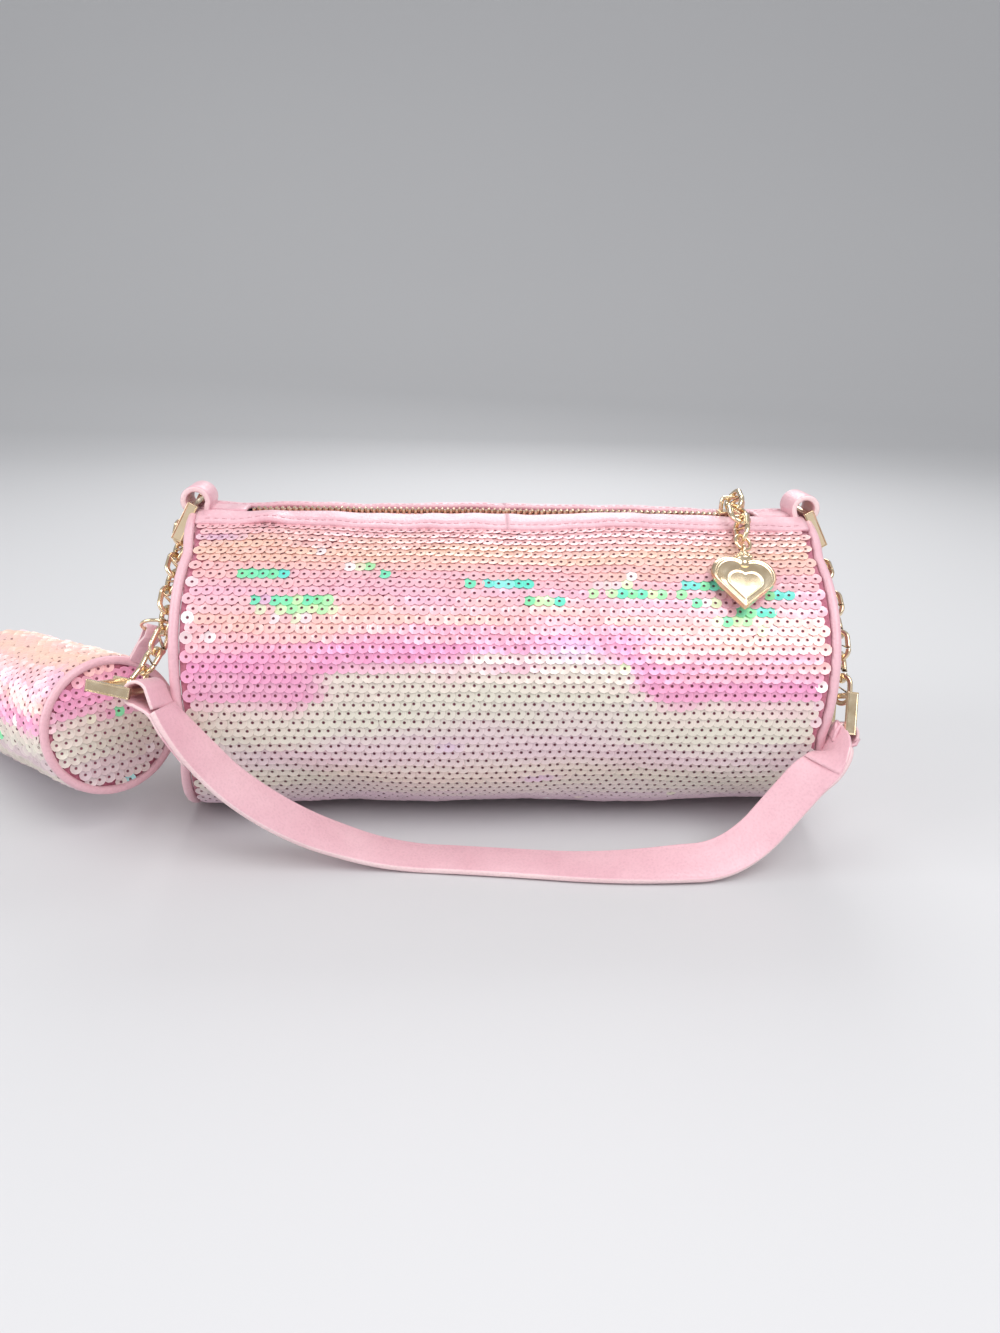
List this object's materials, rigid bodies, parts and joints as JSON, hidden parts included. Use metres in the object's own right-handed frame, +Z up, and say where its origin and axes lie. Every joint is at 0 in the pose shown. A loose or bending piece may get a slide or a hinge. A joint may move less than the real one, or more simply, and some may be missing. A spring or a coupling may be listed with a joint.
{
  "type": "barrel shoulder bag",
  "caption": "Sequined barrel shoulder bag with a zip, a leather strap on curb chains, a heart zip charm and a small matching pouch.",
  "frame": {"origin": "on the surface that the bag rests on, under the middle of the barrel", "axes": "+X along the barrel to the bag's right end in the picture, -Y out of the front of the bag, +Z up"},
  "size_m": [0.3869, 0.151, 0.1345],
  "materials": {
    "sequined_cloth": "rows of cupped iridescent pink sequins sewn on cloth",
    "end_panel": "sequined cloth, as the barrel",
    "lining_cloth": "plain woven lining",
    "pink_leather": "soft grained leather, lighter at the cut edges",
    "zip_metal": "pale gold zip teeth on pink tape",
    "pale_gold_metal": "polished pale gold plating"
  },
  "bodies": {
    "bag": {"shell": "sequined_cloth", "lining": "lining_cloth", "end_panel_left": "end_panel", "end_panel_right": "end_panel", "piping_left": "pink_leather", "piping_right": "pink_leather", "zip_end_left": "pink_leather", "zip_end_right": "pink_leather", "zip_end_teeth": "zip_metal", "tab_left": "pink_leather", "tab_right": "pink_leather", "side_tab_left": "pink_leather", "side_tab_right": "pink_leather", "rivets": "pale_gold_metal"},
    "front_flap": {"mouth_front": "pink_leather", "zip_teeth_front": "zip_metal"},
    "rear_flap": {"mouth_rear": "pink_leather", "zip_teeth_rear": "zip_metal"},
    "slider": {"slider": "pale_gold_metal"},
    "pull_link_1": {"pull_link_1": "pale_gold_metal"},
    "pull_link_2": {"pull_link_2": "pale_gold_metal"},
    "pull_link_3": {"pull_link_3": "pale_gold_metal"},
    "jump_ring": {"jump_ring": "pale_gold_metal"},
    "heart": {"heart_charm": "pale_gold_metal"},
    "upper_ring_left": {"upper_ring_left": "pale_gold_metal"},
    "upper_ring_right": {"upper_ring_right": "pale_gold_metal"},
    "left_link_1": {"left_link_1": "pale_gold_metal"},
    "left_link_2": {"left_link_2": "pale_gold_metal"},
    "left_link_3": {"left_link_3": "pale_gold_metal"},
    "left_link_4": {"left_link_4": "pale_gold_metal"},
    "left_link_5": {"left_link_5": "pale_gold_metal"},
    "left_link_6": {"left_link_6": "pale_gold_metal"},
    "left_link_7": {"left_link_7": "pale_gold_metal"},
    "left_link_8": {"left_link_8": "pale_gold_metal"},
    "left_link_9": {"left_link_9": "pale_gold_metal"},
    "lower_ring_left": {"lower_ring_left": "pale_gold_metal"},
    "right_link_1": {"right_link_1": "pale_gold_metal"},
    "right_link_2": {"right_link_2": "pale_gold_metal"},
    "right_link_3": {"right_link_3": "pale_gold_metal"},
    "right_link_4": {"right_link_4": "pale_gold_metal"},
    "right_link_5": {"right_link_5": "pale_gold_metal"},
    "right_link_6": {"right_link_6": "pale_gold_metal"},
    "right_link_7": {"right_link_7": "pale_gold_metal"},
    "right_link_8": {"right_link_8": "pale_gold_metal"},
    "right_link_9": {"right_link_9": "pale_gold_metal"},
    "lower_ring_right": {"lower_ring_right": "pale_gold_metal"},
    "strap": {"strap": "pink_leather"},
    "pouch_ring": {"pouch_ring": "pale_gold_metal"},
    "pouch": {"pouch_tab": "pink_leather", "pouch_shell": "sequined_cloth", "pouch_lining": "lining_cloth", "pouch_end_front": "end_panel", "pouch_end_rear": "end_panel", "pouch_piping": "pink_leather", "pouch_zip": "zip_metal"},
    "pouch_slider": {"pouch_slider": "pale_gold_metal"},
    "pouch_pull": {"pouch_pull": "pale_gold_metal"}
  },
  "joints": [
    {"name": "mouth_front", "type": "hinge", "parent": "bag", "child": "front_flap", "pos_m": [0, -0.01836, 0.1202], "axis": [1, 0, 0], "range_deg": [0, 80]},
    {"name": "mouth_rear", "type": "hinge", "parent": "bag", "child": "rear_flap", "pos_m": [0, 0.01836, 0.1202], "axis": [-1, 0, 0], "range_deg": [0, 80]},
    {"name": "zip_slide", "type": "slide", "parent": "bag", "child": "slider", "axis": [-1, 0, 0], "range_m": [0, 0.189]},
    {"name": "charm_lift", "type": "hinge", "parent": "slider", "child": "pull_link_1", "pos_m": [0.0945, 0, 0.13044], "axis": [-1, 0, 0], "range_deg": [0, 60]},
    {"name": "charm_2", "type": "hinge", "parent": "pull_link_1", "child": "pull_link_2", "pos_m": [0.0933, -0.01135, 0.12823], "axis": [-1, 0, 0], "range_deg": [0, 18.5]},
    {"name": "charm_3", "type": "hinge", "parent": "pull_link_2", "child": "pull_link_3", "pos_m": [0.0918, -0.02237, 0.1254], "axis": [-1, 0, 0], "range_deg": [0, 18.5]},
    {"name": "charm_4", "type": "hinge", "parent": "pull_link_3", "child": "jump_ring", "pos_m": [0.09015, -0.03278, 0.12077], "axis": [-1, 0, 0], "range_deg": [0, 12.5]},
    {"name": "charm_5", "type": "hinge", "parent": "jump_ring", "child": "heart", "pos_m": [0.08925, -0.03689, 0.11778], "axis": [-1, 0, 0], "range_deg": [0, 12.5]},
    {"name": "strap_swing", "type": "hinge", "parent": "bag", "child": "strap", "pos_m": [0, -0.0095, 0.10932], "axis": [-1, 0, 0], "range_deg": [0, 20.17]},
    {"name": "ring_left", "type": "hinge", "parent": "bag", "child": "upper_ring_left", "pos_m": [-0.12357, -0.002, 0.12584], "axis": [-1, 0, 0], "range_deg": [0, 0.724]},
    {"name": "left_1", "type": "hinge", "parent": "upper_ring_left", "child": "left_link_1", "pos_m": [-0.13036, -0.002, 0.11359], "axis": [-1, 0, 0], "range_deg": [0, 0.312]},
    {"name": "left_2", "type": "hinge", "parent": "left_link_1", "child": "left_link_2", "pos_m": [-0.13036, -0.00557, 0.11038], "axis": [-1, 0, 0], "range_deg": [0, 6.64]},
    {"name": "left_3", "type": "hinge", "parent": "left_link_2", "child": "left_link_3", "pos_m": [-0.13036, -0.01303, 0.10572], "axis": [-1, 0, 0], "range_deg": [0, 7.74]},
    {"name": "left_4", "type": "hinge", "parent": "left_link_3", "child": "left_link_4", "pos_m": [-0.13036, -0.02065, 0.10132], "axis": [-1, 0, 0], "range_deg": [0, 6.54]},
    {"name": "left_5", "type": "hinge", "parent": "left_link_4", "child": "left_link_5", "pos_m": [-0.13036, -0.02795, 0.0964], "axis": [-1, 0, 0], "range_deg": [0, 3.9]},
    {"name": "left_eye", "type": "hinge", "parent": "strap", "child": "lower_ring_left", "pos_m": [-0.13338, -0.06725, 0.07033], "axis": [-1, 0, 0], "range_deg": [-0.538, 0]},
    {"name": "left_9", "type": "hinge", "parent": "lower_ring_left", "child": "left_link_9", "pos_m": [-0.13839, -0.05698, 0.06858], "axis": [-1, 0, 0], "range_deg": [0, 0.727]},
    {"name": "left_8", "type": "hinge", "parent": "left_link_9", "child": "left_link_8", "pos_m": [-0.13564, -0.05253, 0.07245], "axis": [-1, 0, 0], "range_deg": [0, 0.48]},
    {"name": "left_7", "type": "hinge", "parent": "left_link_8", "child": "left_link_7", "pos_m": [-0.13264, -0.04659, 0.07819], "axis": [-1, 0, 0], "range_deg": [0, 0.038]},
    {"name": "left_6", "type": "hinge", "parent": "left_link_7", "child": "left_link_6", "pos_m": [-0.13036, -0.04058, 0.0842], "axis": [-1, 0, 0], "range_deg": [-0.444, 0]},
    {"name": "ring_right", "type": "hinge", "parent": "bag", "child": "upper_ring_right", "pos_m": [0.12357, -0.002, 0.12584], "axis": [-1, 0, 0], "range_deg": [0, 0.724]},
    {"name": "right_1", "type": "hinge", "parent": "upper_ring_right", "child": "right_link_1", "pos_m": [0.13036, -0.002, 0.11359], "axis": [-1, 0, 0], "range_deg": [0, 0.312]},
    {"name": "right_2", "type": "hinge", "parent": "right_link_1", "child": "right_link_2", "pos_m": [0.13036, -0.00557, 0.11038], "axis": [-1, 0, 0], "range_deg": [0, 6.64]},
    {"name": "right_3", "type": "hinge", "parent": "right_link_2", "child": "right_link_3", "pos_m": [0.13036, -0.01303, 0.10572], "axis": [-1, 0, 0], "range_deg": [0, 7.74]},
    {"name": "right_4", "type": "hinge", "parent": "right_link_3", "child": "right_link_4", "pos_m": [0.13036, -0.02065, 0.10132], "axis": [-1, 0, 0], "range_deg": [0, 6.54]},
    {"name": "right_5", "type": "hinge", "parent": "right_link_4", "child": "right_link_5", "pos_m": [0.13036, -0.02795, 0.0964], "axis": [-1, 0, 0], "range_deg": [0, 3.9]},
    {"name": "right_eye", "type": "hinge", "parent": "strap", "child": "lower_ring_right", "pos_m": [0.12896, -0.05732, 0.04976], "axis": [-1, 0, 0], "range_deg": [0, 0.3]},
    {"name": "right_9", "type": "hinge", "parent": "lower_ring_right", "child": "right_link_9", "pos_m": [0.13036, -0.05171, 0.06251], "axis": [-1, 0, 0], "range_deg": [0, 0.1]},
    {"name": "right_8", "type": "hinge", "parent": "right_link_9", "child": "right_link_8", "pos_m": [0.13036, -0.04936, 0.069], "axis": [-1, 0, 0], "range_deg": [0, 0.065]},
    {"name": "right_7", "type": "hinge", "parent": "right_link_8", "child": "right_link_7", "pos_m": [0.13036, -0.0455, 0.07691], "axis": [-1, 0, 0], "range_deg": [-0.129, 0]},
    {"name": "right_6", "type": "hinge", "parent": "right_link_7", "child": "right_link_6", "pos_m": [0.13036, -0.04058, 0.0842], "axis": [-1, 0, 0], "range_deg": [-0.502, 0]},
    {"name": "pouch_ring", "type": "hinge", "parent": "left_link_6", "child": "pouch_ring", "pos_m": [-0.13269, -0.0359, 0.08591], "axis": [-1, 0, 0], "range_deg": [-1.02, 0]},
    {"name": "pouch", "type": "hinge", "parent": "bag", "child": "pouch", "pos_m": [0, -0.00869, 0.10959], "axis": [-1, 0, 0], "range_deg": [0, 19.82]},
    {"name": "pouch_slide", "type": "slide", "parent": "pouch", "child": "pouch_slider", "axis": [-0.662, 0.7352, -0.1456], "range_m": [0, 0.068]},
    {"name": "pouch_pull", "type": "hinge", "parent": "pouch_slider", "child": "pouch_pull", "pos_m": [-0.14509, -0.00183, 0.0325], "axis": [0.662, -0.7352, 0.1456], "range_deg": [0, 60]}
  ],
  "couplings": [
    {"joint": "charm_2", "follows": "charm_lift", "ratio": 0.3},
    {"joint": "charm_3", "follows": "charm_lift", "ratio": 0.3},
    {"joint": "charm_4", "follows": "charm_lift", "ratio": 0.2},
    {"joint": "charm_5", "follows": "charm_lift", "ratio": 0.2},
    {"joint": "ring_left", "follows": "strap_swing", "ratio": 0.035205},
    {"joint": "left_1", "follows": "strap_swing", "ratio": 0.015152},
    {"joint": "left_2", "follows": "strap_swing", "ratio": 0.32264},
    {"joint": "left_3", "follows": "strap_swing", "ratio": 0.37636},
    {"joint": "left_4", "follows": "strap_swing", "ratio": 0.3179},
    {"joint": "left_5", "follows": "strap_swing", "ratio": 0.1897},
    {"joint": "left_eye", "follows": "strap_swing", "ratio": -0.026148},
    {"joint": "left_9", "follows": "strap_swing", "ratio": 0.035345},
    {"joint": "left_8", "follows": "strap_swing", "ratio": 0.023306},
    {"joint": "left_7", "follows": "strap_swing", "ratio": 0.001869},
    {"joint": "left_6", "follows": "strap_swing", "ratio": -0.02159},
    {"joint": "ring_right", "follows": "strap_swing", "ratio": 0.035205},
    {"joint": "right_1", "follows": "strap_swing", "ratio": 0.015152},
    {"joint": "right_2", "follows": "strap_swing", "ratio": 0.32264},
    {"joint": "right_3", "follows": "strap_swing", "ratio": 0.37636},
    {"joint": "right_4", "follows": "strap_swing", "ratio": 0.3179},
    {"joint": "right_5", "follows": "strap_swing", "ratio": 0.1897},
    {"joint": "right_eye", "follows": "strap_swing", "ratio": 0.014564},
    {"joint": "right_9", "follows": "strap_swing", "ratio": 0.004839},
    {"joint": "right_8", "follows": "strap_swing", "ratio": 0.003159},
    {"joint": "right_7", "follows": "strap_swing", "ratio": -0.00625},
    {"joint": "right_6", "follows": "strap_swing", "ratio": -0.02438},
    {"joint": "pouch_ring", "follows": "strap_swing", "ratio": -0.049575},
    {"joint": "pouch", "follows": "strap_swing", "ratio": 0.96321}
  ]
}
